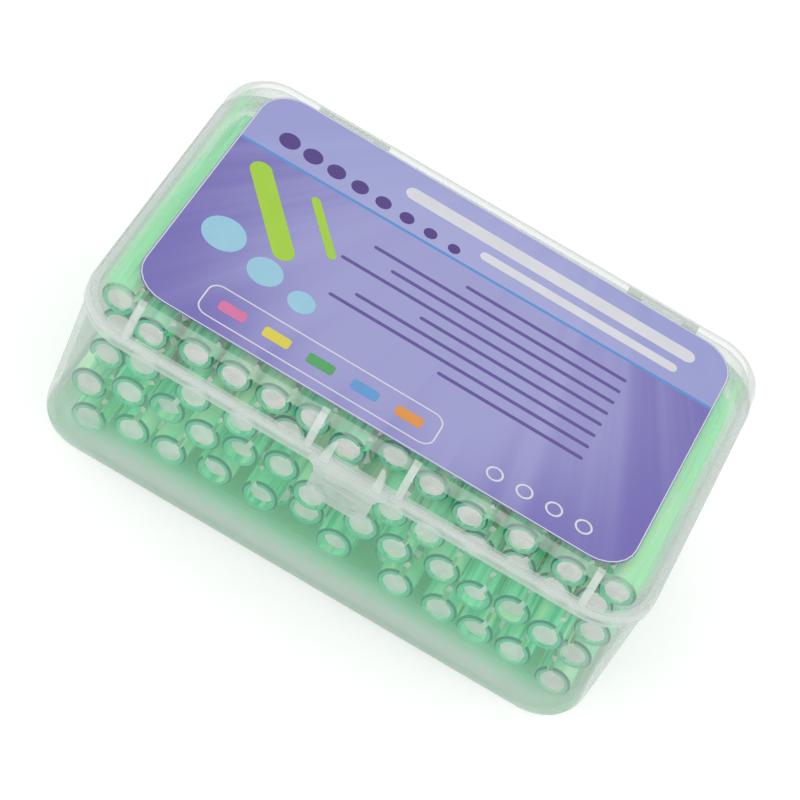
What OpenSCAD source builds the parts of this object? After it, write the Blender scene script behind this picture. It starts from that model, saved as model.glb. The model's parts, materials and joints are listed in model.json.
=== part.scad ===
/* [Case] */
// Width of the case over its rim, left to right
case_w = 115; // [100:1:160]
// Depth of the case over its rim, front to back
case_d = 74.7; // [70:0.1:110]
// Height of the closed case
case_h = 42; // [40:0.5:70]
// Height of the parting line between tray and lid
part_z = 34; // [30:0.1:60]
// Corner radius of the rim, seen from above
corner_r = 10.9; // [8:0.1:20]
// Wall thickness of the tray and the lid
wall = 1.3; // [0.8:0.1:2]
// Floor thickness of the tray
floor_t = 1.4; // [0.8:0.1:3]
// Thickness of the tray's rim flange
flange_t = 1.7; // [0.6:0.1:2]
// Thickness of the lid's rim flange
lid_flange_t = 0.7; // [0.5:0.1:2]
// How far the rim flanges stand out past the walls
flange_out = 0.5; // [0.3:0.1:2]
// Lean of the tray's wall from rim to floor
tray_draft = 0.5; // [0:0.1:1.5]
// Lean of the lid's skirt from rim to top
lid_draft = 0.2; // [0:0.1:2]
// Radius of the tray's bottom edge
bottom_edge_r = 4.4; // [2:0.1:6]
// Radius of the lid's top edge
top_edge_r = 4; // [1:0.1:5]

/* [Lid ribs] */
// Thickness of a rib on the lid's front skirt
rib_t = 1.4; // [1:0.1:3]
// How far a rib stands out past the skirt
rib_out = 0.4; // [0.2:0.1:1]
// Distance between the two inner ribs
inner_rib_span = 18.4; // [17:0.1:30]
// Distance between the two outer ribs
outer_rib_span = 92; // [60:1:92]
// Width of the raised panel behind the latch's fins
panel_w = 14.8; // [14:0.1:16]
// How far the raised panel stands out past the skirt
panel_out = 0.2; // [0.1:0.05:0.4]

/* [Latch] */
// Width of the latch tab at its hinge
latch_w = 12; // [8:0.1:14]
// Width of the latch tab at its tip
latch_tip_w = 12; // [6:0.1:12]
// Thickness of the latch tab
latch_t = 1.2; // [0.8:0.1:2]
// Radius of the tab's two lower corners
latch_corner_r = 2; // [0.5:0.1:2.5]
// Height of the moving tab below its flex line
latch_h = 5.7; // [4:0.1:9]
// Height of the fixed root above the flex line, below the lid's rim
latch_root_h = 2; // [1.5:0.1:5]
// How far the fixed root flares out on each side, up at the lid's rim
root_flare = 1.8; // [0.5:0.1:3]
// Thickness of the shelf that carries the root
shelf_t = 0.9; // [0.7:0.1:2]
// Width of the finger recess in the tab's face
recess_w = 8.2; // [4:0.1:10]
// Height of the finger recess
recess_h = 2.5; // [1:0.1:4]
// Depth of the finger recess
recess_d = 0.3; // [0.1:0.1:0.5]
// How far the catch bead on the tray stands out of its wall
catch_out = 0.3; // [0.2:0.1:0.8]
// Height of the catch bead
catch_h = 1.4; // [0.8:0.1:2]
// Height of the two pointed fins above the latch shelf
fin_h = 5.3; // [3:0.1:7]
// Thickness of a fin at its foot
fin_t = 1.8; // [0.8:0.1:2]
// Distance between the two fins
fin_span = 10.6; // [7:0.1:12]

/* [Hinge] */
// Distance between the two hinge stations
hinge_span = 68; // [40:1:80]
// Radius of the hinge knuckles
knuckle_r = 2; // [1.6:0.1:3]
// Radius of the stub pins on the lid
pin_r = 1; // [0.7:0.1:1.5]
// Length of a lid knuckle
knuckle_len = 9; // [5:0.5:14]
// Length of a tray ear, which holds a stub pin
ear_len = 3; // [2:0.1:5]
// Running clearance of a stub pin in its ear, on the radius
pin_clear = 0.08; // [0.02:0.01:0.1]

/* [Label] */
// Width of the label on the lid
label_w = 100.5; // [60:0.5:104]
// Depth of the label on the lid
label_d = 63.8; // [40:0.1:66]
// Thickness of the label
label_t = 0.15; // [0.1:0.01:0.3]
// Corner radius of the label
label_corner_r = 7.2; // [0.3:0.1:10]
// How far the label lies off square, in degrees clockwise from above
label_turn = 0.7; // [-2:0.1:2]
// How far the label lies in front of the lid's middle
label_set = 0.25; // [-1:0.05:1]

/* [Brush sleeve] */
// Outer diameter of a brush's sleeve
sleeve_od = 7; // [6:0.1:7]
// Bore of the sleeve
sleeve_bore = 4.9; // [4:0.1:5.2]
// Length of the sleeve
sleeve_len = 56; // [50:0.5:56]
// Length of the tapered nose
nose_len = 6; // [4:0.1:9]
// Outer diameter at the nose's tip
nose_od = 4.8; // [4.4:0.1:6]
// Diameter of the hole in the nose
nose_hole = 3.2; // [3:0.1:3.8]
// Width of the slit that the slider's stem runs in
slit_w = 1.1; // [0.8:0.1:1.8]
// Radius that rounds the sleeve's butt
butt_round = 0.4; // [0.1:0.1:0.8]

/* [Brush slider] */
// Clearance of the slider in the sleeve, on the radius
slide_clear = 0.08; // [0.04:0.01:0.15]
// Travel of the slider
travel = 11; // [5:0.5:11]
// Length of the slider's thick core
core_len = 20; // [16:0.5:22]
// How far the core's end lies inside the sleeve's butt
core_set = 0.4; // [0.1:0.1:1]
// Diameter of the slider's neck
neck_d = 2.2; // [1.6:0.1:2.6]
// Length of the neck, with the cone that leads into it
neck_len = 20.5; // [15:0.5:21]
// Length of the cone from core to neck
neck_cone = 3; // [1:0.1:5]
// Height of the thumb button above the sleeve
button_h = 1.2; // [0.8:0.1:1.2]
// Width of the thumb button
button_w = 2.2; // [1.6:0.1:2.4]
// Length of the thumb button
button_len = 10; // [6:0.5:12]
// Distance from the core's end to the button
button_set = 5; // [2:0.5:8]
// Number of grip notches across the button
button_notches = 4; // [2:1:6]
// Depth of a grip notch
notch_d = 0.35; // [0.1:0.05:0.6]

/* [Brush head] */
// Diameter of the twisted wire
wire_d = 0.7; // [0.5:0.05:0.9]
// Length of bare wire between neck and bristles
wire_len = 4; // [2:0.5:6]
// How deep the wire sits in the neck
wire_seat = 3; // [1:0.5:5]
// Diameter of the bristle head at its widest
head_d = 2.7; // [2:0.1:2.9]
// Length of the bristle head
head_len = 8.5; // [6:0.5:8.5]
// Bristle thickness
bristle_d = 0.16; // [0.1:0.01:0.22]
// Bristles in one head, each one crossing the wire
bristles = 24; // [16:2:30]

/* [Stack] */
// Gap between the lowest sleeves and the floor, and round the outermost ones
rest_gap = 0.05; // [0.05:0.05:0.3]
// Distance between one row's centres and the next
row_pitch = 7.85; // [7.8:0.05:12]
// Least gap between a sleeve's end and the front or back wall
butt_gap = 0.65; // [0.4:0.05:3]
// How far at most a slider sits back in its sleeve in the rows under the top one
slide_set = 1.5; // [0:0.1:3]
// Gap between the end sleeves and the side walls
side_gap = 0.45; // [0.4:0.05:2]

/* [Hidden] */
$fn = 48;
// Overrun of every cut
over = 0.5;
// Gap between faces that meet or pass each other
gap = 0.1;
// Steps in a rounded edge of a wall profile
edge_steps = 6;

// Gaps between the sleeves of each row, and to the side walls, as shares of the room left over
gap_shares = [
    [46, 51, 51, 51, 51, 52, 51, 51, 52, 19],
    [21, 42, 6, 18, 24, 14, 4, 61, 20, 5, 7, 30, 13],
    [28, 2.2, 2.2, 8, 3, 5.8, 2.2, 34, 2.2, 21.5, 2.2, 2.2, 2.2, 2.2, 7.1],
    [26, 5, 36, 25, 10, 36, 51, 5, 15, 11, 5, 7, 33],
    [12, 10, 15, 8, 9, 7, 9, 8, 11, 14, 29, 30, 20, 13]
];
// How far each butt lies back, as shares of the play between the front and back walls.
// The bottom row's inner brushes lie against the back wall.
back_shares = [
    [0.34, 0.98, 1, 0.97, 1, 0.99, 0.98, 1, 0.47],
    [0.35, 0, 0.01, 0.12, 0.14, 0.36, 0.07, 0, 0.01, 0, 0.02, 0.56],
    [0.45, 0.03, 0.12, 0.03, 0.12, 0.28, 0.07, 0.08, 0, 0.12, 0, 0.12, 0.03, 0.54],
    [0.47, 0.03, 0, 0.02, 0.35, 0.07, 0, 0, 0.27, 0.35, 0.31, 0.47],
    [0.31, 0.04, 0.14, 0.14, 0.14, 0.19, 0.04, 0.37, 0.24, 0.1, 0.22, 0.15, 0.28]
];
// How far each lower slider sits back in its sleeve, as shares of the most that one does
slide_shares = [
    [0, 0, 0.4, 0, 0, 0.6, 0, 0, 0],
    [0, 0, 0, 0.9, 0.8, 0, 0.9, 0, 0, 0.8, 0, 0.1],
    [0.1, 0, 0.9, 0, 0.9, 0, 0, 0, 0.1, 0, 0.9, 0.8, 0, 0],
    [0, 0.1, 0, 0.3, 0, 0, 0.2, 0, 0, 0.4, 0, 0]
];
// Direction of each brush's button, in degrees from straight up towards the right
rolls = [
    [20, 60, 60, 60, -60, 60, -60, -60, -30],
    [60, 0, 25, -50, -40, -35, -135, 5, 0, 20, 20, -30],
    [-135, 50, 20, 30, 20, 20, 135, 20, 20, 25, 20, 20, 25, 20],
    [20, 30, 20, 20, 20, 60, 20, 130, 20, 20, -30, -20],
    [50, 50, 50, 50, 50, 50, 50, 50, 50, 50, 50, 50, -50]
];
rows = len(gap_shares);
top_row = rows - 1;
top_count = len(rolls[top_row]);

sleeve_r = sleeve_od / 2;
half_w = case_w / 2;
half_d = case_d / 2;
// Inner faces of the tray at its rim
inner_w = case_w - 2 * (flange_out + wall);
inner_half_d = half_d - flange_out - wall;
row_w = inner_w - 2 * side_gap;
butt_y = butt_gap - inner_half_d;
// Free length that the butts of all rows share, front to back
play = 2 * inner_half_d - tray_draft - 3 * butt_gap - sleeve_len;
// Inner radii of the rounded edges
tray_inner_r = max(bottom_edge_r - wall, wall / 2);
lid_inner_r = max(top_edge_r - wall, wall / 2);
hinge_y = half_d + gap * 3 + knuckle_r;
latch_y = half_d + gap + latch_t;
// The case is set so that its whole depth, latch to hinge, is centred
case_y = (latch_y - hinge_y - knuckle_r) / 2;
flex_z = part_z - latch_root_h;
lid_rim_z = part_z + lid_flange_t;
root_top = part_z + shelf_t;
lid_wall_z = case_h - top_edge_r;
// Angle round the top edge at which the skirt's ribs and panel end
rib_end = 102;
// Turn from one bristle to the next along the wire, in degrees
bristle_turn = 70;

function total(list, i = 0) = i >= len(list) ? 0 : list[i] + total(list, i + 1);
function spare(row) = row_w - len(rolls[row]) * sleeve_od;
function first_gaps(row, i) = total([for (k = [0 : i]) gap_shares[row][k]]) / total(gap_shares[row]);
function brush_x(row, i) = -row_w / 2 + sleeve_r + i * sleeve_od + spare(row) * first_gaps(row, i);
function brush_z(row) = floor_t + rest_gap + sleeve_r + row * row_pitch;

// How far the inner wall leans in at a row's height
function lean(row) =
    row == top_row
    ? lid_draft * (brush_z(row) - lid_rim_z) / (lid_wall_z - lid_rim_z)
    : tray_draft * (part_z - flange_t - brush_z(row)) / (part_z - flange_t - bottom_edge_r);

// How far from the middle, front or back, the square end of a sleeve at x fits inside the rounded corners
function corner_reach(row, x) =
    let (
        r = corner_r - flange_out - wall - lean(row) - rest_gap,
        side = max(0, abs(x) + sleeve_r - half_w + corner_r)
    )
    half_d - corner_r + sqrt(max(0, r * r - side * side));

// How much of a row's front end the rounded bottom or top edge takes up
function edge_reach(row) =
    let (
        r = row == top_row ? lid_inner_r : tray_inner_r,
        z = brush_z(row),
        rise = row == top_row ? z + sleeve_r - case_h + wall + r : row == 0 ? floor_t + r - z + sleeve_r : 0
    )
    r - sqrt(max(0, r * r - pow(max(0, rise), 2)));

// Where a butt lies: back by its share of the play, and clear of the front wall's rounded edges and corners
function brush_y(row, i) =
    max(
        butt_y + play * back_shares[row][i],
        lean(row) + edge_reach(row) + rest_gap - inner_half_d,
        -corner_reach(row, brush_x(row, i))
    );

// Points of a quarter round, from angle a to angle b, about a centre
function arc(cx, cy, r, a, b) =
    [for (k = [0 : edge_steps]) let (t = a + (b - a) * k / edge_steps) [cx + r * cos(t), cy + r * sin(t)]];

// Everything drawn about the middle of the rim is moved to the middle of the whole case
module in_case() {
    translate([0, case_y, 0]) children();
}

// Sweeps a wall profile round the rim's outline. The profile's x is measured from the corners' centres.
module around() {
    side_w = case_w - 2 * corner_r;
    side_d = case_d - 2 * corner_r;
    for (side = [0, 1])
        rotate([0, 0, side * 180]) {
            translate([side_w / 2, side_d / 2, 0]) rotate_extrude(angle = 90) children();
            translate([-side_w / 2, side_d / 2, 0]) rotate([0, 0, 90]) rotate_extrude(angle = 90) children();
            translate([side_w / 2, side_d / 2, 0])
                rotate([90, 0, 0]) linear_extrude(side_d) children();
            translate([side_w / 2, side_d / 2, 0])
                rotate([0, 0, 90]) rotate([90, 0, 0]) mirror([0, 0, 1]) linear_extrude(side_w) children();
        }
}

// Flat plate of floor or lid between the corners' centres, where the swept walls end
module plate(z, t) {
    side_w = case_w - 2 * corner_r;
    side_d = case_d - 2 * corner_r;
    translate([-side_w / 2, -side_d / 2, z]) cube([side_w, side_d, t]);
}

// Wall profile of the tray: flange, leaning wall and rounded bottom edge, closed to the corner's centre
module tray_profile() {
    wall_x = corner_r - flange_out;
    low_x = wall_x - tray_draft;
    polygon(concat(
        [[0, 0]],
        arc(low_x - bottom_edge_r, bottom_edge_r, bottom_edge_r, -90, 0),
        [
            [wall_x, part_z - flange_t],
            [corner_r, part_z - flange_t],
            [corner_r, part_z],
            [wall_x - wall, part_z]
        ],
        arc(low_x - wall - tray_inner_r, floor_t + tray_inner_r, tray_inner_r, 0, -90),
        [[0, floor_t]]
    ));
}

// Wall profile of the lid: flange, leaning skirt and rounded top edge, closed to the corner's centre
module lid_profile() {
    wall_x = corner_r - flange_out;
    top_x = wall_x - lid_draft;
    polygon(concat(
        [
            [0, case_h - wall],
            [top_x - wall - lid_inner_r, case_h - wall]
        ],
        arc(top_x - wall - lid_inner_r, case_h - wall - lid_inner_r, lid_inner_r, 90, 0),
        [
            [wall_x - wall, lid_rim_z],
            [wall_x - wall, part_z],
            [corner_r, part_z],
            [corner_r, lid_rim_z],
            [wall_x, lid_rim_z]
        ],
        arc(top_x - top_edge_r, lid_wall_z, top_edge_r, 0, 90),
        [[0, case_h]]
    ));
}

// Two ears with a round bore at each hinge station, reaching back from under the tray's rim
module hinge_ears() {
    root_y = half_d - flange_out - wall / 2;
    for (station = [-1, 1], end = [-1, 1])
        translate([station * hinge_span / 2 + end * (knuckle_len / 2 + gap + ear_len / 2), 0, 0])
            difference() {
                union() {
                    translate([-ear_len / 2, hinge_y, part_z])
                        rotate([0, 90, 0]) cylinder(r = knuckle_r, h = ear_len);
                    translate([-ear_len / 2, 0, 0])
                        rotate([90, 0, 90]) linear_extrude(ear_len) polygon([
                            [root_y, part_z - flange_t / 2],
                            [root_y, part_z - flange_t - knuckle_r * 2],
                            [half_d - flange_out, part_z - flange_t - knuckle_r * 2],
                            [hinge_y, part_z - knuckle_r],
                            [hinge_y, part_z - gap],
                            [half_d - gap, part_z - gap]
                        ]);
                }
                translate([-ear_len / 2 - over, hinge_y, part_z])
                    rotate([0, 90, 0]) cylinder(r = pin_r + pin_clear, h = ear_len + 2 * over);
            }
}

// Bead on the tray's front wall that the latch catches under
module catch_bead() {
    bead_w = latch_tip_w - 2 * latch_t;
    bead_z = flex_z - latch_h / 2;
    root = half_d - flange_out - wall / 2;
    face = half_d - flange_out;
    translate([-bead_w / 2, 0, 0])
        rotate([90, 0, 90]) linear_extrude(bead_w) polygon([
            [-root, bead_z],
            [-face - catch_out, bead_z],
            [-face - catch_out, bead_z + catch_h / 3],
            [-face, bead_z + catch_h],
            [-root, bead_z + catch_h]
        ]);
}

module base_tray() {
    color([0.76, 0.81, 0.77]) in_case() {
        around() tray_profile();
        plate(0, floor_t);
        hinge_ears();
        catch_bead();
    }
}

// Upright strip of width w on the lid's front skirt, out past it, from the rim over the rounded top edge
module skirt_strip(w, out) {
    foot_y = half_d - flange_out;
    head_y = foot_y - lid_draft;
    edge_y = top_edge_r - head_y;
    translate([-w / 2, 0, 0])
        rotate([90, 0, 90]) linear_extrude(w) polygon(concat(
            [
                [wall / 2 - foot_y, part_z + lid_flange_t / 2],
                [-foot_y - out, part_z + lid_flange_t / 2],
                [-foot_y - out, lid_rim_z]
            ],
            arc(edge_y, lid_wall_z - out, top_edge_r + out, 180, rib_end),
            arc(edge_y, lid_wall_z, top_edge_r - wall / 2, rib_end, 180)
        ));
}

// Rib at x on the lid's front skirt, narrowed to a point at its foot
module rib(x) {
    point_z = lid_rim_z + rib_t * 2;
    translate([x, 0, 0]) intersection() {
        skirt_strip(rib_t, rib_out);
        rotate([90, 0, 0]) linear_extrude(case_d) polygon([
            [-rib_t / 5, part_z],
            [rib_t / 5, part_z],
            [rib_t / 2, point_z],
            [rib_t / 2, case_h],
            [-rib_t / 2, case_h],
            [-rib_t / 2, point_z]
        ]);
    }
}

// Pointed fin beside the latch, standing on the latch shelf. Its outer and front edges curve in to the tip.
module fin(side) {
    skirt_y = half_d - flange_out;
    tip_z = root_top + fin_h;
    rise = [for (k = [0 : edge_steps]) k / edge_steps];
    translate([side * (fin_span - fin_t) / 2, 0, 0]) mirror([side < 0 ? 1 : 0, 0, 0]) intersection() {
        rotate([90, 0, 0]) linear_extrude(case_d) polygon(concat(
            [[0, tip_z], [0, part_z + gap]],
            [for (t = rise) [fin_t - fin_t * 4 / 5 * t * t, root_top + fin_h * t]]
        ));
        rotate([90, 0, 90]) linear_extrude(fin_t) polygon(concat(
            [
                [-skirt_y + lid_draft / 2, tip_z],
                [-skirt_y + wall / 2, lid_wall_z],
                [-skirt_y + wall / 2, part_z + gap]
            ],
            [for (t = rise) [-latch_y + (latch_y - skirt_y) * t * t, root_top + fin_h * t]]
        ));
    }
}

// Fixed root of the latch: a shelf on the lid's rim, with a flared lip that hangs down to the flex line
module latch_root() {
    flared_w = latch_w / 2 + root_flare;
    translate([-flared_w, -latch_y, part_z + gap])
        cube([2 * flared_w, latch_t + flange_out + gap, shelf_t - gap]);
    translate([0, -half_d - gap, 0]) rotate([90, 0, 0]) linear_extrude(latch_t) polygon([
        [-latch_w / 2, flex_z],
        [latch_w / 2, flex_z],
        [latch_w / 2 + root_flare / 4, flex_z + latch_root_h / 2],
        [flared_w, part_z + gap],
        [flared_w, root_top],
        [-flared_w, root_top],
        [-flared_w, part_z + gap],
        [-latch_w / 2 - root_flare / 4, flex_z + latch_root_h / 2]
    ]);
}

// Knuckles with stub pins at both hinge stations, reaching back from the lid's rim
module lid_knuckles() {
    root_y = half_d - flange_out - wall / 2;
    pin_len = knuckle_len + 2 * (gap + ear_len * 4 / 5);
    for (station = [-1, 1])
        translate([station * hinge_span / 2, 0, 0]) {
            translate([-knuckle_len / 2, hinge_y, part_z])
                rotate([0, 90, 0]) cylinder(r = knuckle_r, h = knuckle_len);
            translate([-pin_len / 2, hinge_y, part_z])
                rotate([0, 90, 0]) cylinder(r = pin_r, h = pin_len);
            translate([-knuckle_len / 2, 0, 0])
                rotate([90, 0, 90]) linear_extrude(knuckle_len) polygon([
                    [root_y, part_z + lid_flange_t / 2],
                    [hinge_y, part_z + gap],
                    [hinge_y, part_z + knuckle_r],
                    [half_d - flange_out - lid_draft / 2, part_z + knuckle_r * 2],
                    [root_y - lid_draft / 2, part_z + knuckle_r * 2]
                ]);
        }
}

module lid() {
    color([0.84, 0.88, 0.85]) in_case() {
        around() lid_profile();
        plate(case_h - wall, wall);
        for (side = [-1, 1]) {
            rib(side * inner_rib_span / 2);
            rib(side * outer_rib_span / 2);
            fin(side);
        }
        skirt_strip(panel_w, panel_out);
        latch_root();
        lid_knuckles();
    }
}

// Moving part of the latch, below the flex line: a tab with rounded lower corners,
// a finger recess in its face and a bead behind that hooks under the tray's
module latch_tab() {
    top_z = flex_z - gap;
    tip_z = top_z - latch_h;
    half_tip = latch_tip_w / 2 - latch_corner_r;
    bead_y = flange_out - gap - half_d;
    bead_top = flex_z - latch_h / 2 - gap;
    color([0.8, 0.85, 0.82]) in_case() {
        difference() {
            translate([0, -half_d - gap, 0]) rotate([90, 0, 0]) linear_extrude(latch_t) polygon(concat(
                [[-latch_w / 2, top_z]],
                arc(-half_tip, tip_z + latch_corner_r, latch_corner_r, 180, 270),
                arc(half_tip, tip_z + latch_corner_r, latch_corner_r, 270, 360),
                [[latch_w / 2, top_z]]
            ));
            translate([-recess_w / 2, -latch_y - over, top_z - (latch_h + recess_h) / 2])
                cube([recess_w, over + recess_d, recess_h]);
        }
        translate([-half_tip, 0, 0])
            rotate([90, 0, 90]) linear_extrude(2 * half_tip) polygon([
                [-half_d - gap - latch_t / 3, bead_top],
                [bead_y, bead_top],
                [bead_y, bead_top - catch_h / 4],
                [-half_d - gap, bead_top - catch_h],
                [-half_d - gap - latch_t / 3, bead_top - catch_h]
            ]);
    }
}

module label() {
    color([0.49, 0.44, 0.74]) in_case() translate([0, -label_set, case_h])
        rotate([0, 0, -label_turn]) linear_extrude(label_t) hull()
            for (sx = [-1, 1], sy = [-1, 1])
                translate([sx * (label_w / 2 - label_corner_r), sy * (label_d / 2 - label_corner_r)])
                    circle(r = label_corner_r);
}

// Puts a brush, drawn along +Y with its butt at the origin and its button up, into its place in the stack
module in_stack(row, i) {
    in_case() translate([brush_x(row, i), brush_y(row, i), brush_z(row)])
        rotate([0, rolls[row][i], 0]) children();
}

// Turns a profile of radius and distance from the butt about the brush's axis
module turned() {
    rotate([-90, 0, 0]) rotate_extrude() children();
}

module sleeve_profile() {
    bore_r = sleeve_bore / 2;
    polygon([
        [bore_r, 0],
        [sleeve_r - butt_round, 0],
        [sleeve_r, butt_round],
        [sleeve_r, sleeve_len - nose_len],
        [nose_od / 2, sleeve_len],
        [nose_hole / 2, sleeve_len],
        [nose_hole / 2, sleeve_len - nose_len / 4],
        [bore_r, sleeve_len - nose_len]
    ]);
}

module sleeve() {
    slit_len = core_set + button_set + button_len + travel + slide_clear;
    difference() {
        turned() sleeve_profile();
        translate([-slit_w / 2, -over, 0]) cube([slit_w, slit_len + over, sleeve_r + over]);
    }
}

// Slider: core, cone and neck in one turned piece, with a stem through the slit and a notched thumb button
module slider() {
    core_r = sleeve_bore / 2 - slide_clear;
    stem_w = slit_w - 2 * slide_clear;
    neck_end = core_set + core_len + neck_len;
    button_y = core_set + button_set;
    button_top = sleeve_r + button_h;
    notch_pitch = button_len / (button_notches + 1);
    turned() polygon([
        [0, core_set],
        [core_r, core_set],
        [core_r, core_set + core_len],
        [neck_d / 2, core_set + core_len + neck_cone],
        [neck_d / 2, neck_end],
        [wire_d / 2, neck_end],
        [wire_d / 2, neck_end - wire_seat],
        [0, neck_end - wire_seat]
    ]);
    translate([-stem_w / 2, core_set + button_set / 2, core_r / 2])
        cube([stem_w, button_set / 2 + button_len, sleeve_r + slide_clear + button_h / 4 - core_r / 2]);
    translate([-button_w / 2, 0, 0])
        rotate([90, 0, 90]) linear_extrude(button_w) polygon(concat(
            [
                [button_y + button_len, sleeve_r + slide_clear],
                [button_y + button_len, sleeve_r + button_h / 2],
                [button_y + button_len - button_h / 2, button_top]
            ],
            [for (k = [button_notches : -1 : 1], p = [1, 0, -1])
                [button_y + k * notch_pitch + p * notch_d, button_top - (p == 0 ? notch_d : 0)]],
            [
                [button_y + button_h / 2, button_top],
                [button_y, sleeve_r + button_h / 2],
                [button_y, sleeve_r + slide_clear]
            ]
        ));
}

wire_start = core_set + core_len + neck_len - wire_seat;
head_start = core_set + core_len + neck_len + wire_len;

// Bare part of the twisted wire, seated in the neck
module wire() {
    translate([0, wire_start, 0]) rotate([-90, 0, 0]) cylinder(r = wire_d / 2, h = head_start - wire_start);
}

// Bristle head: three-sided bristles through the slice of wire that holds them, in a winding fan
module bristle_head() {
    step = head_len / bristles;
    translate([0, head_start, 0]) rotate([-90, 0, 0]) {
        cylinder(r = wire_d / 2, h = head_len + wire_d, $fn = 8);
        for (i = [0 : bristles - 1])
            translate([0, 0, (i + 1 / 2) * step]) rotate([90, 0, i * bristle_turn])
                cylinder(r = bristle_d / 2, h = head_reach(i), $fn = 3, center = true);
    }
}

// The head is fullest a third of the way along and narrows to its tip
function head_reach(i) = head_d * (1 - pow((i / bristles - 1 / 3) * 2 / 3, 2));

// Bristle head of a brush that lies in the middle of the stack, as the round bundle that it makes
module plain_head() {
    turned() polygon([
        [0, head_start],
        [head_d / 2, head_start],
        [head_d / 2, head_start + head_len * 2 / 3],
        [head_d / 3, head_start + head_len],
        [0, head_start + head_len]
    ]);
}

// One of each brush piece in every row under the top one
module lower_rows() {
    for (row = [0 : top_row - 1], i = [0 : len(rolls[row]) - 1]) in_stack(row, i) children();
}

// The same, with each piece as far back in its sleeve as its slider sits
module lower_slides() {
    for (row = [0 : top_row - 1], i = [0 : len(rolls[row]) - 1])
        in_stack(row, i) translate([0, slide_set * slide_shares[row][i], 0]) children();
}

module sleeve_piece(i) {
    color([0.55, 0.85, 0.68]) in_stack(top_row, i) sleeve();
}

module slider_piece(i) {
    color([0.8, 0.84, 0.79]) in_stack(top_row, i) slider();
}

module wire_piece(i) {
    color([0.7, 0.71, 0.72]) in_stack(top_row, i) wire();
}

module bristle_piece(i) {
    color([0.93, 0.95, 0.94]) in_stack(top_row, i) bristle_head();
}

module sleeves_lower() {
    color([0.45, 0.78, 0.6]) lower_rows() sleeve();
}

module sliders_lower() {
    color([0.8, 0.84, 0.79]) lower_slides() slider();
}

module wires_lower() {
    color([0.7, 0.71, 0.72]) lower_slides() wire();
}

module bristles_lower() {
    color([0.93, 0.95, 0.94]) lower_slides() plain_head();
}

base_tray();
lid();
latch_tab();
label();
for (i = [1 : top_count]) {
    sleeve_piece(i - 1);
    slider_piece(i - 1);
    wire_piece(i - 1);
    bristle_piece(i - 1);
}
sleeves_lower();
sliders_lower();
wires_lower();
bristles_lower();
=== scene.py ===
import bpy
import bmesh
import json
import math
from mathutils import Matrix, Vector


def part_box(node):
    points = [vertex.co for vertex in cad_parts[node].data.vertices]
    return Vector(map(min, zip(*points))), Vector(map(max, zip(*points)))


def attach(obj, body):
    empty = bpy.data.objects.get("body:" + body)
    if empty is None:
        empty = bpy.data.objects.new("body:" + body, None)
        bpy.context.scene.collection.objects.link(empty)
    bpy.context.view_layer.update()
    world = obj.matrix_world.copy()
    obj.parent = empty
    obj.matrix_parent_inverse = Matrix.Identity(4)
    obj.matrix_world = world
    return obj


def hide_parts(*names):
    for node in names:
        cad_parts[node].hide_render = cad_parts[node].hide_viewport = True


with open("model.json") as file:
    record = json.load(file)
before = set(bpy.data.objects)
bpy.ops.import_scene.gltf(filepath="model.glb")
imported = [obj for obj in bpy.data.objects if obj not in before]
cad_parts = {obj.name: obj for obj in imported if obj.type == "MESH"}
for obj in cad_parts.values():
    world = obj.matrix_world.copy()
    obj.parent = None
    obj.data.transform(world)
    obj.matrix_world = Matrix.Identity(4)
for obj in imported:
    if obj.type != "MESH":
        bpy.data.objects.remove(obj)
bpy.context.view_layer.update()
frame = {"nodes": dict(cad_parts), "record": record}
nodes = frame["nodes"]
mm = 0.001
topCount = 13  # brushes whose sliders move
print("frame loaded:", len(nodes), "nodes")

# the camera, solved from the photograph's frame of 800 x 800
cameraSettings = {
    "place": (16.28 * mm, -436.76 * mm, 456.7 * mm),
    "turn": (41.097, -19.835, 23.407),
    "lens": 150.04,
    "sensor": 36,
    "far": 10,
}


def makeCamera(settings):
    data = bpy.data.cameras.new("camera")
    data.lens = settings["lens"]
    data.sensor_width = settings["sensor"]
    data.clip_end = settings["far"]
    camera = bpy.data.objects.new("camera", data)
    camera.location = settings["place"]
    camera.rotation_euler = [math.radians(a) for a in settings["turn"]]
    bpy.context.collection.objects.link(camera)
    bpy.context.scene.camera = camera


makeCamera(cameraSettings)


# small helpers for materials

def newMaterial(name):
    material = bpy.data.materials.new(name)
    material.use_nodes = True
    tree = material.node_tree
    return material, tree, tree.nodes["Principled BSDF"]


def addMath(tree, operation, first, second=None, clamp=False):
    node = tree.nodes.new("ShaderNodeMath")
    node.operation = operation
    node.use_clamp = clamp
    for socket, value in zip(node.inputs, (first, second)):
        if value is None:
            continue
        if isinstance(value, (int, float)):
            socket.default_value = value
        else:
            tree.links.new(value, socket)
    return node.outputs[0]


def addWeighted(tree, operation, start, *masks):
    # the start, joined by one operation with each mask times its weight
    for mask, weight in masks:
        start = addMath(tree, operation, start, addMath(tree, "MULTIPLY", mask, weight))
    return start


def addSpread(tree, value, noise, spread):
    # the value, moved up and down by a noise that lies about a half
    return addWeighted(tree, "ADD", value, (addMath(tree, "SUBTRACT", noise, 0.5), spread))


def addStep(tree, value, low, high):
    # 0 below low and 1 above high, smooth between, or the other way round where low is the greater
    node = tree.nodes.new("ShaderNodeMapRange")
    node.interpolation_type = "SMOOTHSTEP"
    tree.links.new(value, node.inputs["Value"])
    node.inputs["From Min"].default_value = min(low, high)
    node.inputs["From Max"].default_value = max(low, high)
    if low > high:
        node.inputs["To Min"].default_value = 1
        node.inputs["To Max"].default_value = 0
    return node.outputs[0]


def addArea(tree, *sides):
    # 1 where every value is past its own step
    area = 1.0
    for value, limits in sides:
        area = addMath(tree, "MULTIPLY", addStep(tree, value, *limits), area)
    return area


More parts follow.
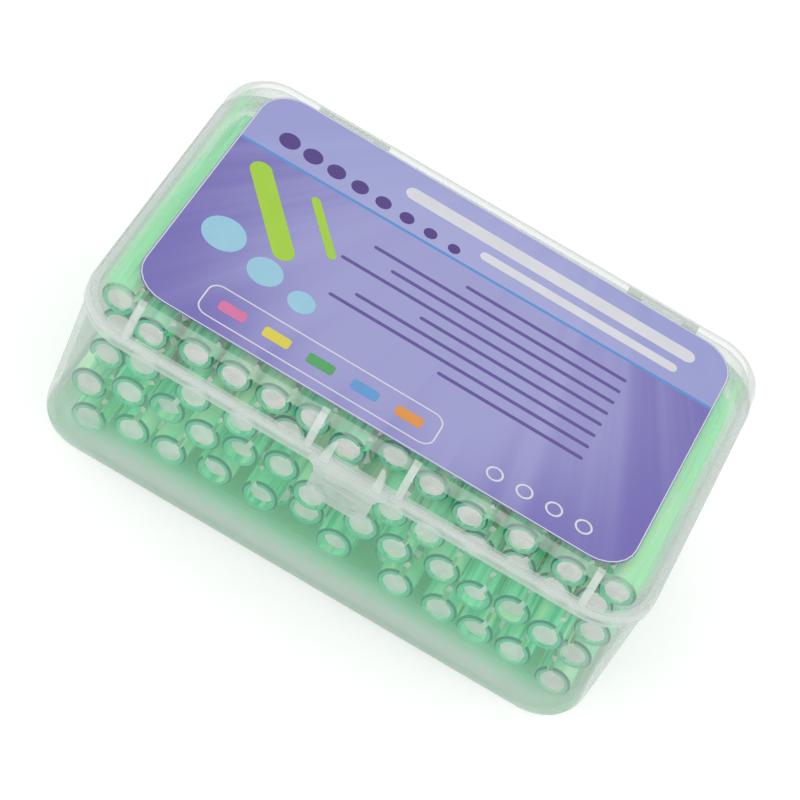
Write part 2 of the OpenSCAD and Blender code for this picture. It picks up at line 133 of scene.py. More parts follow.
def addMix(tree, factor, first, second):
    node = tree.nodes.new("ShaderNodeMix")
    node.data_type = "RGBA"
    for socket, value in ((node.inputs[0], factor), (node.inputs[6], first), (node.inputs[7], second)):
        if isinstance(value, (int, float)):
            socket.default_value = value
        elif isinstance(value, tuple):
            socket.default_value = (*value, 1)
        else:
            tree.links.new(value, socket)
    return node.outputs[2]


def addApart(tree, output):
    coordinates = tree.nodes.new("ShaderNodeTexCoord")
    apart = tree.nodes.new("ShaderNodeSeparateXYZ")
    tree.links.new(coordinates.outputs[output], apart.inputs[0])
    return coordinates.outputs[output], apart.outputs


def addPlace(tree):
    # the object's own coordinates, whole and as separate x, y and z
    return addApart(tree, "Object")


def addNormal(tree):
    # x, y and z of the way that the face looks
    return addApart(tree, "Normal")[1]


def makeGrainGroup():
    # fine moulded grain with slow clouding, shared by every material
    group = bpy.data.node_groups.new("mouldedGrain", "ShaderNodeTree")
    face = group.interface
    face.new_socket("Place", in_out="INPUT", socket_type="NodeSocketVector")
    face.new_socket("Fine", in_out="INPUT", socket_type="NodeSocketFloat")
    face.new_socket("Cloud", in_out="INPUT", socket_type="NodeSocketFloat")
    face.new_socket("Grain", in_out="OUTPUT", socket_type="NodeSocketFloat")
    face.new_socket("Clouding", in_out="OUTPUT", socket_type="NodeSocketFloat")
    start = group.nodes.new("NodeGroupInput")
    end = group.nodes.new("NodeGroupOutput")
    for name, detail, output in (("Fine", 3, 0), ("Cloud", 2, 1)):
        noise = group.nodes.new("ShaderNodeTexNoise")
        noise.inputs["Detail"].default_value = detail
        group.links.new(start.outputs["Place"], noise.inputs["Vector"])
        group.links.new(start.outputs[name], noise.inputs["Scale"])
        group.links.new(noise.outputs[0], end.inputs[output])
    return group


grainGroup = makeGrainGroup()


def addGrain(tree, place, fine, cloud):
    node = tree.nodes.new("ShaderNodeGroup")
    node.node_tree = grainGroup
    tree.links.new(place, node.inputs["Place"])
    node.inputs["Fine"].default_value = fine
    node.inputs["Cloud"].default_value = cloud
    return node.outputs["Grain"], node.outputs["Clouding"]


def addFlow(tree, place, scale):
    # noise drawn out along the way that the plastic flowed
    stretch = tree.nodes.new("ShaderNodeMapping")
    stretch.inputs["Scale"].default_value = scale
    tree.links.new(place, stretch.inputs["Vector"])
    noise = tree.nodes.new("ShaderNodeTexNoise")
    noise.inputs["Scale"].default_value = 1
    tree.links.new(stretch.outputs[0], noise.inputs["Vector"])
    return noise.outputs[0]


def addBump(tree, shader, height, strength, distance):
    bump = tree.nodes.new("ShaderNodeBump")
    bump.inputs["Strength"].default_value = strength
    bump.inputs["Distance"].default_value = distance
    tree.links.new(height, bump.inputs["Height"])
    tree.links.new(bump.outputs[0], shader.inputs["Normal"])


def seenDirectly(tree):
    # 1 for the rays that show a surface, 0 for those that only pass on light
    path = tree.nodes.new("ShaderNodeLightPath")
    seen = addMath(tree, "MAXIMUM", path.outputs["Is Camera Ray"], path.outputs["Is Glossy Ray"])
    return addMath(tree, "MAXIMUM", seen, path.outputs["Is Transmission Ray"])


passing = 0.85  # share of a clear wall's haze that scattered light passes through
edgeOnBlend = 0.35


def addEdgeOn(tree, alpha, strength):
    # a clear wall seen edge-on is a longer way through plastic, so it hides more
    layer = tree.nodes.new("ShaderNodeLayerWeight")
    layer.inputs["Blend"].default_value = edgeOnBlend
    more = addMath(tree, "MULTIPLY", layer.outputs["Facing"], strength)
    left = addMath(tree, "SUBTRACT", 1.0, alpha)
    hiding = addMath(tree, "ADD", alpha, addMath(tree, "MULTIPLY", left, more), clamp=True)
    kept = addWeighted(tree, "ADD", 1 - passing, (seenDirectly(tree), passing))
    return addMath(tree, "MULTIPLY", hiding, kept)


# most pairs in a material's settings are where a mask starts and where it is full;
# grain is how fine the grain and the clouding are, and bump is its strength and depth

# tray: frosted, hazier low at the front where no sleeve lies against the wall, with a painted green cast
# of the sleeves behind on its walls and floor
traySettings = {
    # colour: painted green cast of the sleeves seen through the wall
    "colour": (0.38, 0.84, 0.56),
    "bottom": (0.68, 0.80, 0.73),
    "pale": (0.80, 0.87, 0.83),
    # floor: painted green cast on the tray's floor under the sleeves
    "floor": (0.40, 0.86, 0.54),
    "haze": 0.12,
    "hazeSpread": 0.12,
    "rimHaze": 0.4,
    "lipHaze": 0.25,
    "lowHaze": 0.5,
    "floorHaze": 0.5,
    "rim": (32.25 * mm, 32.35 * mm),
    # painted highlight line along the top lip, drawn as more haze
    "lip": (33.6 * mm, 33.7 * mm),
    "low": (15 * mm, 7 * mm),
    "lowHalfWidth": (58 * mm, 36 * mm),
    "floorTop": (3 * mm, 1.6 * mm),
    "floorFront": (-37 * mm, -33 * mm),
    "bottomAt": (13 * mm, 5 * mm),
    "endsAt": (43 * mm, 51 * mm),
    "grain": (3000, 60),
    "bump": (0.06, 0.02 * mm),
    "edgeOn": 0.3,
    "rough": 0.38,
}


def makeTrayPlastic(settings):
    material, tree, shader = newMaterial("tray_plastic")
    place, axes = addPlace(tree)
    grain, clouding = addGrain(tree, place, *settings["grain"])
    across = addMath(tree, "ABSOLUTE", axes[0])
    rim = addStep(tree, axes[2], *settings["rim"])
    # painted highlight along the tray's top lip
    lip = addStep(tree, axes[2], *settings["lip"])
    low = addArea(tree, (axes[2], settings["low"]), (across, settings["lowHalfWidth"]))
    floor = addArea(tree, (axes[2], settings["floorTop"]), (axes[1], settings["floorFront"]))
    alpha = addWeighted(tree, "ADD", settings["haze"],
                        (rim, settings["rimHaze"]), (lip, settings["lipHaze"]),
                        (low, settings["lowHaze"]), (floor, settings["floorHaze"]))
    alpha = addSpread(tree, alpha, clouding, settings["hazeSpread"])
    tree.links.new(addEdgeOn(tree, alpha, settings["edgeOn"]), shader.inputs["Alpha"])
    # painted green cast of the sleeves on the walls, plain at the ends and low down
    ends = addStep(tree, across, *settings["endsAt"])
    plain = addMath(tree, "MAXIMUM", ends, addStep(tree, axes[2], *settings["bottomAt"]))
    colour = addMix(tree, plain, settings["colour"], settings["bottom"])
    colour = addMix(tree, rim, colour, settings["pale"])
    # painted green cast on the floor under the sleeves
    tree.links.new(addMix(tree, floor, colour, settings["floor"]), shader.inputs["Base Color"])
    shader.inputs["Roughness"].default_value = settings["rough"]
    addBump(tree, shader, grain, *settings["bump"])
    return material


# lid: clearer and glossy, pale where its ribs, fins and rim are thick, hazier along its rounded top edge
# partly for thicker plastic and partly as a painted highlight, and painted green over the flanks of the
# end sleeves, standing in for their colour that its rounded side edges spread
lidSettings = {
    "colour": (0.62, 0.70, 0.65),
    "pale": (0.84, 0.92, 0.87),
    # painted green cast: the end sleeves' colour painted on the lid's rounded side edges
    "paintedGreenCast": (0.42, 0.88, 0.50),
    "haze": 0.02,
    "hazeSpread": 0.06,
    "rimHaze": 0.42,
    "paintedEdgeHaze": 0.36,
    "ribHaze": 0.55,
    "raisedHaze": 0.2,
    "proudHaze": 0.25,
    "finHaze": 0.6,
    "flankHaze": 0.5,
    "rim": (34.95 * mm, 34.75 * mm),
    # top edge band: partly thicker plastic, partly a painted highlight
    "edge": (40.5 * mm, 40.75 * mm),
    "edgeFlat": (0.985, 0.96),
    "raised": (-38.40 * mm, -38.52 * mm),
    "proud": (-38.65 * mm, -38.75 * mm),
    "fins": (35.0 * mm, 35.1 * mm),
    "resting": (34.1 * mm, 34.05 * mm),
    "restingFlat": (0.8, 0.9),
    "ribsAt": (9.2 * mm, 46 * mm),
    "ribHalf": (0.78 * mm, 0.68 * mm),
    "ribFront": (-34.6 * mm, -35.2 * mm),
    "ribOver": (34.75 * mm, 34.95 * mm),
    "flankFrom": (47.5 * mm, 50 * mm),
    "flankTo": (55.2 * mm, 53.4 * mm),
    "flankBack": (30 * mm, 22 * mm),
    "flankFront": (-37 * mm, -33 * mm),
    "flankOver": (39.5 * mm, 40.4 * mm),
    "streak": (900, 30, 0),
    "streakLevels": (0.1, 0.6),
    "grain": (900, 40),
    "edgeOn": 0.5,
    "rough": 0.3,
    "roughSpread": 0.1,
}


def makeLidPlastic(settings):
    material, tree, shader = newMaterial("lid_plastic")
    place, axes = addPlace(tree)
    normal = addNormal(tree)
    clouding = addGrain(tree, place, *settings["grain"])[1]
    across = addMath(tree, "ABSOLUTE", axes[0])
    rim = addStep(tree, axes[2], *settings["rim"])
    # rounded top edge: haze that is partly thicker plastic and partly a painted highlight
    edge = addArea(tree, (axes[2], settings["edge"]), (normal[2], settings["edgeFlat"]))
    raised = addStep(tree, axes[1], *settings["raised"])
    proud = addStep(tree, axes[1], *settings["proud"])
    fins = addMath(tree, "MULTIPLY", proud, addStep(tree, axes[2], *settings["fins"]))
    ribs = 0.0
    for ribAt in settings["ribsAt"]:
        off = addMath(tree, "ABSOLUTE", addMath(tree, "SUBTRACT", across, ribAt))
        ribs = addMath(tree, "MAXIMUM", addStep(tree, off, *settings["ribHalf"]), ribs)
    front = addArea(tree, (axes[1], settings["ribFront"]), (axes[2], settings["ribOver"]))
    ribs = addMath(tree, "MULTIPLY", ribs, front)
    # painted green over the end sleeves' flanks, streaked
    paintedGreenCast = addArea(tree, (across, settings["flankFrom"]), (across, settings["flankTo"]),
                    (axes[1], settings["flankBack"]), (axes[1], settings["flankFront"]),
                    (axes[2], settings["flankOver"]),
                    (addFlow(tree, place, settings["streak"]), settings["streakLevels"]))
    thick = addWeighted(tree, "MAXIMUM", 0.0, (rim, settings["rimHaze"]), (edge, settings["paintedEdgeHaze"]),
                        (ribs, settings["ribHaze"]), (raised, settings["raisedHaze"]),
                        (proud, settings["proudHaze"]), (fins, settings["finHaze"]))
    alpha = addMath(tree, "ADD", settings["haze"], thick)
    alpha = addWeighted(tree, "MAXIMUM", alpha, (paintedGreenCast, settings["flankHaze"]))
    alpha = addSpread(tree, alpha, clouding, settings["hazeSpread"])
    # the rim's lower face rests on the tray's, so only the tray's shows
    resting = addArea(tree, (addMath(tree, "ABSOLUTE", normal[2]), settings["restingFlat"]),
                      (axes[2], settings["resting"]))
    free = addMath(tree, "SUBTRACT", 1.0, resting)
    alpha = addMath(tree, "MULTIPLY", alpha, free)
    strength = addMath(tree, "MULTIPLY", settings["edgeOn"], free)
    tree.links.new(addEdgeOn(tree, alpha, strength), shader.inputs["Alpha"])
    pale = addMath(tree, "MAXIMUM", addMath(tree, "MAXIMUM", rim, ribs), proud)
    colour = addMix(tree, pale, settings["colour"], settings["pale"])
    # painted green cast of the end sleeves on the side edges
    tree.links.new(addMix(tree, paintedGreenCast, colour, settings["paintedGreenCast"]), shader.inputs["Base Color"])
    rough = addSpread(tree, settings["rough"], clouding, settings["roughSpread"])
    tree.links.new(rough, shader.inputs["Roughness"])
    return material


# latch tab: the same plastic, thicker and paler
latchSettings = {
    "colour": (0.74, 0.80, 0.765),
    "pale": (0.83, 0.87, 0.85),
    "haze": 0.26,
    "hazeSpread": 0.1,
    "grain": (1500, 120),
    "bump": (0.1, 0.03 * mm),
    "edgeOn": 0.8,
    "rough": 0.25,
}


def makeLatchPlastic(settings):
    material, tree, shader = newMaterial("latch_plastic")
    grain, clouding = addGrain(tree, addPlace(tree)[0], *settings["grain"])
    colour = addMix(tree, clouding, settings["colour"], settings["pale"])
    tree.links.new(colour, shader.inputs["Base Color"])
    alpha = addSpread(tree, settings["haze"], clouding, settings["hazeSpread"])
    tree.links.new(addEdgeOn(tree, alpha, settings["edgeOn"]), shader.inputs["Alpha"])
    shader.inputs["Roughness"].default_value = settings["rough"]
    addBump(tree, shader, grain, *settings["bump"])
    return material


# sleeves: mint, with flow streaks along the tube, yellow-green patches that are painted highlights, a
# deeper colour on the butt, painted dark shade on its rounded edge, and a painted glow
sleeveSettings = {
    "bright": (0.26, 0.94, 0.50),
    # yellow: painted highlights, scattered at random along the tubes
    "yellow": (0.54, 0.97, 0.56),
    "deep": (0.02, 0.56, 0.25),
    "butt": (0.10, 0.50, 0.31),
    # edge: painted dark shade on the butt's rounded edge, the dark outline of a clear ring
    "edge": (0.015, 0.12, 0.10),
    "haze": 0.72,
    "buttHaze": 0.1,
    "paintedEdgeHaze": 0.25,
    "inside": 0.93,
    "glow": 0.16,  # painted glow, standing in for light that the stack of clear tubes passes on from all round
    "buttFaces": (-0.85, -0.95),
    "edgeFaces": (-0.4, -0.6),
    "streak": (700, 38, 700),
    "streakLevels": (0.36, 0.6),
    "paintedHighlightPatch": (240, 22, 240),
    "paintedHighlightPatchLevels": (0.5, 0.66),
    "grain": (2500, 90),
    "bump": (0.05, 0.02 * mm),
    "edgeOn": 0.45,
    "rough": 0.16,
}


def makeSleevePlastic(settings):
    material, tree, shader = newMaterial("sleeve_plastic")
    place = addPlace(tree)[0]
    along = addNormal(tree)[1]
    grain = addGrain(tree, place, *settings["grain"])[0]
    flow = addStep(tree, addFlow(tree, place, settings["streak"]), *settings["streakLevels"])
    colour = addMix(tree, flow, settings["deep"], settings["bright"])
    # yellow-green patches: painted highlights
    paintedHighlightPatch = addStep(tree, addFlow(tree, place, settings["paintedHighlightPatch"]), *settings["paintedHighlightPatchLevels"])
    colour = addMix(tree, paintedHighlightPatch, colour, settings["yellow"])
    butt = addStep(tree, along, *settings["buttFaces"])
    # painted shade along the butt's rounded edge
    edge = addMath(tree, "SUBTRACT", addStep(tree, along, *settings["edgeFaces"]), butt)
    colour = addMix(tree, butt, colour, settings["butt"])
    colour = addMix(tree, edge, colour, settings["edge"])
    tree.links.new(colour, shader.inputs["Base Color"])
    # painted glow: the sleeves emit their own colour, though they are no lamp
    tree.links.new(colour, shader.inputs["Emission Color"])
    shader.inputs["Emission Strength"].default_value = settings["glow"]
    alpha = addWeighted(tree, "ADD", settings["haze"],
                        (butt, settings["buttHaze"]), (edge, settings["paintedEdgeHaze"]))
    side = tree.nodes.new("ShaderNodeNewGeometry")
    alpha = addWeighted(tree, "MAXIMUM", alpha, (side.outputs["Backfacing"], settings["inside"]))
    tree.links.new(addEdgeOn(tree, alpha, settings["edgeOn"]), shader.inputs["Alpha"])
    shader.inputs["Roughness"].default_value = settings["rough"]
    addBump(tree, shader, grain, *settings["bump"])
    return material


# sliders: natural off-white plastic with faint mottling,
# and painted green light along the flanks, where the sleeve is round them
sliderSettings = {
    "light": (0.87, 0.90, 0.85),
    "dark": (0.73, 0.79, 0.73),
    # painted green light that passes through the sleeve onto the flanks
    "paintedGreenCast": (0.42, 0.74, 0.53),
    "flankFaces": (-0.8, -0.5),
    "mottleLevels": (0.35, 0.6),
    "grain": (4000, 350),
    "bump": (0.15, 0.02 * mm),
    "rough": 0.42,
    "roughSpread": 0.2,
}


def makeSliderPlastic(settings):
    material, tree, shader = newMaterial("slider_plastic")
    grain, clouding = addGrain(tree, addPlace(tree)[0], *settings["grain"])
    mottle = addStep(tree, clouding, *settings["mottleLevels"])
    colour = addMix(tree, mottle, settings["dark"], settings["light"])
    # painted green light on the flanks, where the sleeve is round them
    paintedGreenCast = addStep(tree, addNormal(tree)[1], *settings["flankFaces"])
    tree.links.new(addMix(tree, paintedGreenCast, colour, settings["paintedGreenCast"]), shader.inputs["Base Color"])
    rough = addSpread(tree, settings["rough"], clouding, settings["roughSpread"])
    tree.links.new(rough, shader.inputs["Roughness"])
    addBump(tree, shader, grain, *settings["bump"])
    return material


wireSettings = {
    "light": (0.78, 0.79, 0.80),
    "dark": (0.45, 0.46, 0.48),
    "grain": (6000, 900),
    "rough": 0.3,
    "roughSpread": 0.2,
    "metal": 1,
}
bristleSettings = {
    "light": (0.93, 0.95, 0.94),
    "dark": (0.78, 0.83, 0.80),
    "grain": (5000, 600),
    "rough": 0.45,
    "roughSpread": 0.2,
    "metal": 0,
}


def makeThread(name, settings):
    material, tree, shader = newMaterial(name)
    grain, clouding = addGrain(tree, addPlace(tree)[0], *settings["grain"])
    colour = addMix(tree, clouding, settings["dark"], settings["light"])
    tree.links.new(colour, shader.inputs["Base Color"])
    rough = addSpread(tree, settings["rough"], grain, settings["roughSpread"])
    tree.links.new(rough, shader.inputs["Roughness"])
    shader.inputs["Metallic"].default_value = settings["metal"]
    return material


finishes = {
    "tray_plastic": makeTrayPlastic(traySettings),
    "lid_plastic": makeLidPlastic(lidSettings),
    "sleeve_plastic": makeSleevePlastic(sleeveSettings),
    "slider_plastic": makeSliderPlastic(sliderSettings),
    "wire_steel": makeThread("wire_steel", wireSettings),
    "bristle_nylon": makeThread("bristle_nylon", bristleSettings),
}
slotOf = {part["node"]: part["material_slot"] for part in frame["record"]["subparts"]}
for name, node in nodes.items():
    node.data.materials.clear()
    # a film takes the label's place further on, so any finish will do for it here
    node.data.materials.append(finishes.get(slotOf[name], finishes["bristle_nylon"]))
nodes["latch_tab"].data.materials[0] = makeLatchPlastic(latchSettings)
print("plastics and metals:", len(finishes) + 1)


# pieces in mesh code

def turnAbout(mesh, verts, angle, axis):
    bmesh.ops.rotate(mesh, verts=verts, cent=(0, 0, 0), matrix=Matrix.Rotation(angle, 3, axis))


def addPiece(name, mesh, material, body, replaced):
    data = bpy.data.meshes.new(name)
    mesh.to_mesh(data)
    mesh.free()
    piece = bpy.data.objects.new(name, data)
    data.materials.append(material)
    bpy.context.collection.objects.link(piece)
    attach(piece, body)
    if replaced:
        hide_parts(*replaced)


mergeReach = 0.001 * mm


def loosePieces(node):
    # lowest and highest corners of each separate solid in a CAD node
    mesh = bmesh.new()
    mesh.from_mesh(node.data)
    bmesh.ops.remove_doubles(mesh, verts=mesh.verts, dist=mergeReach)
    seen, boxes = set(), []
    for vert in mesh.verts:
        if vert in seen:
            continue
        group, front = [], [vert]
        seen.add(vert)
        while front:
            here = front.pop()
            group.append(here.co.copy())
            for edge in here.link_edges:
                other = edge.other_vert(here)
                if other not in seen:
                    seen.add(other)
                    front.append(other)
        boxes.append([[limit(c[a] for c in group) for a in range(3)] for limit in (min, max)])
    mesh.free()
    return boxes


# brush heads: fine filaments that stand in a twisted wire
headSettings = {
    "baseDiameter": 2.68 * mm,
    "tipDiameter": 1.9 * mm,
    "shoulder": 0.07,  # share of the reach that the rows past the shoulder fall short by
    "shoulderStart": 0.3,
    "bareEnd": 0.7 * mm,
    "rows": 34,
    "filaments": 10,
    "filamentThick": 0.085 * mm,
    "filamentSides": 3,
    "turnStep": 47,
    "lean": 0.16,
    "leanSteps": (2.4, 1.9),
}


def makeHeadMesh(settings, length):
    # one head about +Y from the origin, filaments in turning rows that narrow to the tip
    mesh = bmesh.new()
    step = length / settings["rows"]
    rowLean, filamentLean = settings["leanSteps"]
    thick = settings["filamentThick"]
    for row in range(settings["rows"]):
        share = row / (settings["rows"] - 1)
        reach = (settings["baseDiameter"] * (1 - share) + settings["tipDiameter"] * share) / 2
        rise = math.sin(math.pi * min(1, share * 2 + settings["shoulderStart"]))
        reach *= 1 - settings["shoulder"] + settings["shoulder"] * rise
        for k in range(settings["filaments"]):
            turn = math.radians(row * settings["turnStep"] + k * 360 / settings["filaments"])
            made = bmesh.ops.create_cone(mesh, segments=settings["filamentSides"], radius1=thick / 2,
                                         radius2=thick / 4, depth=reach)
            verts = made["verts"]
            bmesh.ops.translate(mesh, verts=verts, vec=(0, 0, reach / 2))
            tilt = settings["lean"] * math.sin(row * rowLean + k * filamentLean)
            turnAbout(mesh, verts, tilt, "X")
            turnAbout(mesh, verts, turn, "Y")
            bmesh.ops.translate(mesh, verts=verts, vec=(0, (row + 0.5) * step, 0))
    return mesh


wireShape = {
    "strand": 0.19 * mm,  # radius of one strand
    "offset": 0.155 * mm,
    "pitch": 1.3 * mm,
    "sides": 6,
    "stepsPerTurn": 8,
}


def makeWireMesh(settings, length):
    # two strands wound round each other along +Y from the origin
    mesh = bmesh.new()
    steps = max(2, round(length / settings["pitch"] * settings["stepsPerTurn"]))
    turns = steps / settings["stepsPerTurn"]
    for side in (-1, 1):
        made = bmesh.ops.create_circle(mesh, segments=settings["sides"], radius=settings["strand"],
                                       cap_ends=True)
        verts = made["verts"]
        turnAbout(mesh, verts, math.pi / 2, "X")
        bmesh.ops.translate(mesh, verts=verts, vec=(side * settings["offset"], 0, 0))
        face = next(f for f in verts[0].link_faces if set(f.verts) == set(verts))
        bmesh.ops.spin(mesh, geom=[face], cent=(0, 0, 0), axis=(0, 1, 0), dvec=(0, length / steps, 0),
                       angle=2 * math.pi * turns, steps=steps, use_duplicate=False)
    bmesh.ops.recalc_face_normals(mesh, faces=mesh.faces)
    return mesh


def putCopies(source, places):
    mesh = bmesh.new()
    data = bpy.data.meshes.new("master")
    source.to_mesh(data)
    for place in places:
        before = len(mesh.verts)
        mesh.from_mesh(data)
        mesh.verts.ensure_lookup_table()
        bmesh.ops.translate(mesh, verts=mesh.verts[before:], vec=place)
    bpy.data.meshes.remove(data)
    return mesh


def startOf(box):
    # the middle of the front end of a solid that lies along +Y
    return ((box[0][0] + box[1][0]) / 2, box[0][1], (box[0][2] + box[1][2]) / 2)


def addBrushes(names, heads, wires, body, replaced):
    filaments, stem, twist = names
    replacedHead, replacedWire = replaced
    nylon, steel = finishes["bristle_nylon"], finishes["wire_steel"]
    addPiece(filaments, putCopies(headMaster, heads), nylon, body, [replacedHead])
    addPiece(stem, putCopies(stemMaster, heads), steel, body, [])
    addPiece(twist, putCopies(wireMaster, wires), steel, body, [replacedWire])


topHeads = [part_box(f"bristles_{i}") for i in range(1, topCount + 1)]
topWires = [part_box(f"wire_{i}") for i in range(1, topCount + 1)]
headLength = topHeads[0][1][1] - topHeads[0][0][1]
wireLength = topWires[0][1][1] - topWires[0][0][1]
headMaster = makeHeadMesh(headSettings, headLength - headSettings["bareEnd"])
wireMaster = makeWireMesh(wireShape, wireLength)
stemMaster = makeWireMesh(wireShape, headLength)
for i, (headBox, wireBox) in enumerate(zip(topHeads, topWires), 1):
    addBrushes((f"filaments_{i}", f"stem_{i}", f"twist_{i}"), [startOf(headBox)], [startOf(wireBox)],
               f"slider_{i}", (f"bristles_{i}", f"wire_{i}"))
lowerHeads = [startOf(box) for box in loosePieces(nodes["bristles_lower"])]
lowerWires = [startOf(box) for box in loosePieces(nodes["wires_lower"])]
addBrushes(("filaments_lower", "stems_lower", "twists_lower"), lowerHeads, lowerWires,
           "case", ("bristles_lower", "wires_lower"))
print("heads:", topCount + len(lowerHeads), "wires:", topCount + len(lowerWires))


# label: printed film with a generic design
labelSettings = {
    "top": (0.34, 0.36, 0.69),
    "topLight": (0.47, 0.49, 0.78),
    "topShine": 0.5,
    "dark": (0.18, 0.15, 0.49),
    "light": (0.37, 0.37, 0.69),
    "line": (0.10, 0.30, 0.70),
    "glowAt": (0, -3 * mm),
    "glowReach": (58 * mm, 14 * mm),
    "glowShare": 0.85,
    "rayFrom": (14 * mm, 74 * mm),
    "rays": 12,
    "rayDetail": 3,
    "rayShare": 0.6,
    "shineLevels": (0.15, 1.15),
    "over": (13.8 * mm, 14.2 * mm),
    "lineAt": 14.0 * mm,
    "lineHalf": (0.455 * mm, 0.245 * mm),
    "grain": (5000, 50),
    "rough": 0.34,
    "roughSpread": 0.1,
    "thinner": 0.03 * mm,
    "turn": -0.7,
}


def addAway(tree, axes, point):
    # both parts of the way from a point
    return [addMath(tree, "SUBTRACT", axes[a], point[a]) for a in range(2)]


def makeLabelFilm(settings):
    material, tree, shader = newMaterial("label_film")
    place, axes = addPlace(tree)
    grain = addGrain(tree, place, *settings["grain"])[0]
    aside, along = addAway(tree, axes, settings["glowAt"])
    square = addWeighted(tree, "ADD", 0.0, (aside, aside), (along, along))
    glow = addStep(tree, addMath(tree, "SQRT", square), *settings["glowReach"])
    rays = tree.nodes.new("ShaderNodeTexNoise")
    rays.noise_dimensions = "1D"
    rays.inputs["Scale"].default_value = settings["rays"]
    rays.inputs["Detail"].default_value = settings["rayDetail"]
    tree.links.new(addMath(tree, "ARCTAN2", *addAway(tree, axes, settings["rayFrom"])), rays.inputs["W"])
    shine = addWeighted(tree, "ADD", 0.0,
                        (glow, settings["glowShare"]), (rays.outputs[0], settings["rayShare"]))
    shine = addStep(tree, shine, *settings["shineLevels"])
    body = addMix(tree, shine, settings["dark"], settings["light"])
    topShine = addMath(tree, "MULTIPLY", shine, settings["topShine"])
    top = addMix(tree, topShine, settings["top"], settings["topLight"])
    colour = addMix(tree, addStep(tree, axes[1], *settings["over"]), body, top)
    off = addMath(tree, "ABSOLUTE", addMath(tree, "SUBTRACT", axes[1], settings["lineAt"]))
    colour = addMix(tree, addStep(tree, off, *settings["lineHalf"]), colour, settings["line"])
    tree.links.new(colour, shader.inputs["Base Color"])
    rough = addSpread(tree, settings["rough"], grain, settings["roughSpread"])
    tree.links.new(rough, shader.inputs["Roughness"])
    return material


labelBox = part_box("label")
labelMiddle = [(labelBox[0][a] + labelBox[1][a]) / 2 for a in range(2)]
labelTop = labelBox[1][2] - labelSettings["thinner"]


def makeFilm(settings):
    # the label a little thinner, so that its print stays inside the part's box
    mesh = bmesh.new()
    mesh.from_mesh(nodes["label"].data)
    bmesh.ops.remove_doubles(mesh, verts=mesh.verts, dist=mergeReach)
    top = [v for v in mesh.verts if v.co.z > labelTop]
    bmesh.ops.translate(mesh, verts=top, vec=(0, 0, -settings["thinner"]))
    addPiece("label_sheet", mesh, makeLabelFilm(settings), "lid", ["label"])


makeFilm(labelSettings)

inkSettings = {
    "grain": (4000, 200),
    "darker": 0.88,
    "rough": 0.36,
    "thick": 0.028 * mm,
    "sunk": 0.001 * mm,
    "cornerSteps": 6,
}
inkColours = {
    "white": (0.80, 0.81, 0.87),
    "violet": (0.085, 0.045, 0.26),
    "shadow": (0.13, 0.09, 0.36),
    "lime": (0.42, 0.72, 0.05),
    "orange": (0.85, 0.34, 0.07),
    "pink": (0.78, 0.20, 0.42),
    "sky": (0.13, 0.38, 0.74),
    "ice": (0.36, 0.66, 0.83),
    "yellow": (0.82, 0.72, 0.08),
    "green": (0.10, 0.42, 0.14),
}


def makeInk(name, colour, settings):
    material, tree, shader = newMaterial(f"ink_{name}")
    clouding = addGrain(tree, addPlace(tree)[0], *settings["grain"])[1]
    darker = tuple(c * settings["darker"] for c in colour)
    tree.links.new(addMix(tree, clouding, darker, colour), shader.inputs["Base Color"])
    shader.inputs["Roughness"].default_value = settings["rough"]
    return material


def addShape(mesh, x, y, width, height, turn=0, corner=None, line=None):
    # flat bar with round ends or corners, or a frame of one
    part = bmesh.new()
    made = bmesh.ops.create_grid(part, x_segments=1, y_segments=1, size=0.5)
    bmesh.ops.scale(part, verts=made["verts"], vec=(width * mm, height * mm, 1))
    # round ends stop just short of a half, so that their arcs don't meet
    radius = min(width, height) * 0.499 if corner is None else corner
    bmesh.ops.bevel(part, geom=part.verts, affect="VERTICES", offset=radius * mm,
                    segments=inkSettings["cornerSteps"], profile=0.5, material=-1)
    if line:
        inner = list(part.faces)
        bmesh.ops.inset_region(part, faces=inner, thickness=line * mm,
                               use_boundary=True, use_even_offset=True)
        bmesh.ops.delete(part, geom=inner, context="FACES")
    turnAbout(part, part.verts, math.radians(turn), "Z")
    bmesh.ops.translate(part, verts=part.verts, vec=(x * mm, y * mm, 0))
    data = bpy.data.meshes.new("shape")
    part.to_mesh(data)
    part.free()
    mesh.from_mesh(data)
    bpy.data.meshes.remove(data)


def makePrint(ink, shapes, settings):
    mesh = bmesh.new()
    for shape in shapes:
        addShape(mesh, *shape)
    made = bmesh.ops.extrude_face_region(mesh, geom=list(mesh.faces))
    raised = [v for v in made["geom"] if isinstance(v, bmesh.types.BMVert)]
    bmesh.ops.translate(mesh, verts=raised, vec=(0, 0, settings["thick"]))
    bmesh.ops.recalc_face_normals(mesh, faces=mesh.faces)
    turnAbout(mesh, mesh.verts, math.radians(labelSettings["turn"]), "Z")
    bmesh.ops.translate(mesh, verts=mesh.verts, vec=(*labelMiddle, labelTop - settings["sunk"]))
    addPiece(f"print_{ink}", mesh, makeInk(ink, inkColours[ink], settings), "lid", [])


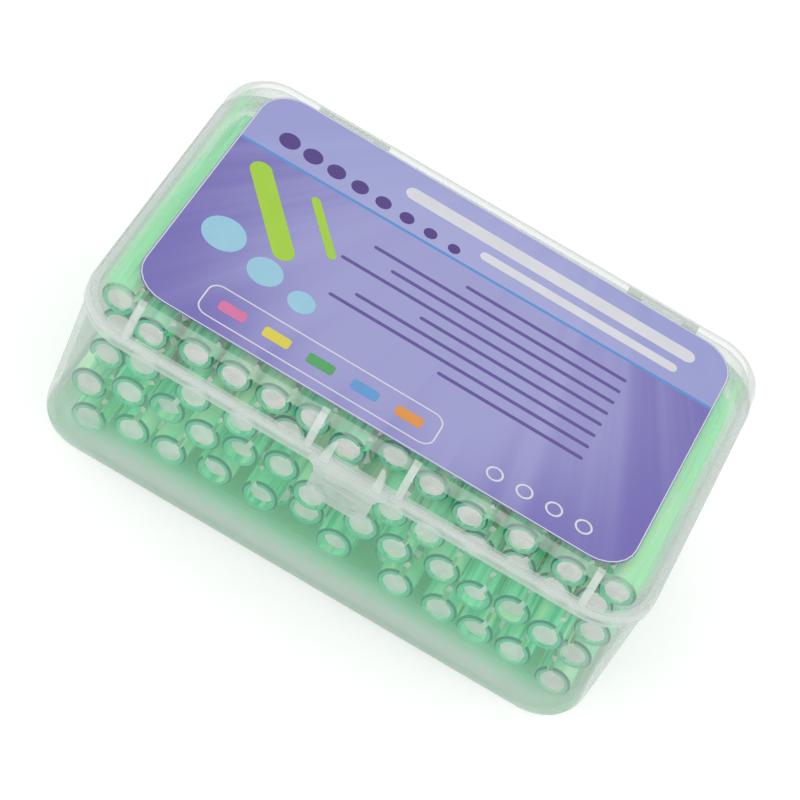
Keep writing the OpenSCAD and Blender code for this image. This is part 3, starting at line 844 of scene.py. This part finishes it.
# every shape is (x, y, width, height, turn, corner, line), in mm and degrees from the label's middle
swatches = {"pink": -32, "yellow": -23, "green": -14, "sky": -5, "orange": 4}
lineWidths = (34, 52, 47, 56, 38, 50, 54, 30)
prints = {
    "white": [
        (12, 25.4, 62, 3.2),
        (20, 20.6, 42, 2.2),
        (0, 0, 100.3, 63.6, 0, 7.1, 0.22),
        (-14, -25.2, 48, 8.4, 0, 2.4, 0.3),
        *[(22 + k * 6, -26.5, 3.4, 3.4, 0, None, 0.4) for k in range(4)],
    ],
    "violet": [(-42 + k * 5.2, 20.5 - k * 0.35, 4.2 - k * 0.25, 4.2 - k * 0.25) for k in range(8)],
    "shadow": [(34 - width / 2, 11 - k * 3.3, width, 0.8) for k, width in enumerate(lineWidths)],
    "lime": [(-37, 2, 4.4, 24, 38), (-27.5, 5, 1.8, 15, 38)],
    "ice": [(-41.5, -9.5, 8.6, 8.6), (-31.5, -12.5, 7, 7), (-23, -14.5, 5.4, 5.4)],
}
for ink, x in swatches.items():
    prints[ink] = [(x, -25.2, 5.4, 2.6, 0, 0.6)]
for ink, shapes in prints.items():
    makePrint(ink, shapes, inkSettings)
print("label printed:", len(prints), "inks")


# stage: white floor and an even white room
stageSettings = {
    "floorSize": 3.0,
    "floorColour": (0.8, 0.8, 0.8),
    "floorRough": 0.9,
    "glow": 0.42,
    "worldLight": 0.98,
    "lamps": [
        {"name": "key", "place": (-0.5, -0.5, 0.9), "size": 0.7, "power": 1.4},
        {"name": "fill", "place": (0.7, 0.1, 0.8), "size": 0.8, "power": 0.8},
    ],
}


def makeFloor(settings):
    bpy.ops.mesh.primitive_plane_add(size=settings["floorSize"])
    floor = bpy.context.object
    floor.name = "floor"
    material, tree, shader = newMaterial("floor_white")
    shader.inputs["Base Color"].default_value = (*settings["floorColour"], 1)
    shader.inputs["Roughness"].default_value = settings["floorRough"]
    shader.inputs["Specular IOR Level"].default_value = 0
    shader.inputs["Emission Color"].default_value = (1, 1, 1, 1)
    glow = addMath(tree, "MULTIPLY", seenDirectly(tree), settings["glow"])
    tree.links.new(glow, shader.inputs["Emission Strength"])
    floor.data.materials.append(material)


def makeWorld(settings):
    # white where it is seen, at a plain level where it lights
    world = bpy.data.worlds.new("studio")
    bpy.context.scene.world = world
    world.use_nodes = True
    tree = world.node_tree
    tree.nodes.clear()
    output = tree.nodes.new("ShaderNodeOutputWorld")
    mix = tree.nodes.new("ShaderNodeMixShader")
    tree.links.new(seenDirectly(tree), mix.inputs[0])
    for socket, strength in ((mix.inputs[1], settings["worldLight"]), (mix.inputs[2], 1)):
        background = tree.nodes.new("ShaderNodeBackground")
        background.inputs["Strength"].default_value = strength
        tree.links.new(background.outputs[0], socket)
    tree.links.new(mix.outputs[0], output.inputs["Surface"])


def makeLamp(settings):
    data = bpy.data.lights.new(settings["name"], "AREA")
    data.size = settings["size"]
    data.energy = settings["power"]
    lamp = bpy.data.objects.new(settings["name"], data)
    lamp.location = settings["place"]
    lamp.rotation_euler = Vector(settings["place"]).to_track_quat("Z", "Y").to_euler()
    bpy.context.collection.objects.link(lamp)


makeFloor(stageSettings)
makeWorld(stageSettings)
for lampSettings in stageSettings["lamps"]:
    makeLamp(lampSettings)
bpy.context.scene.view_settings.view_transform = "Standard"
print("stage set")
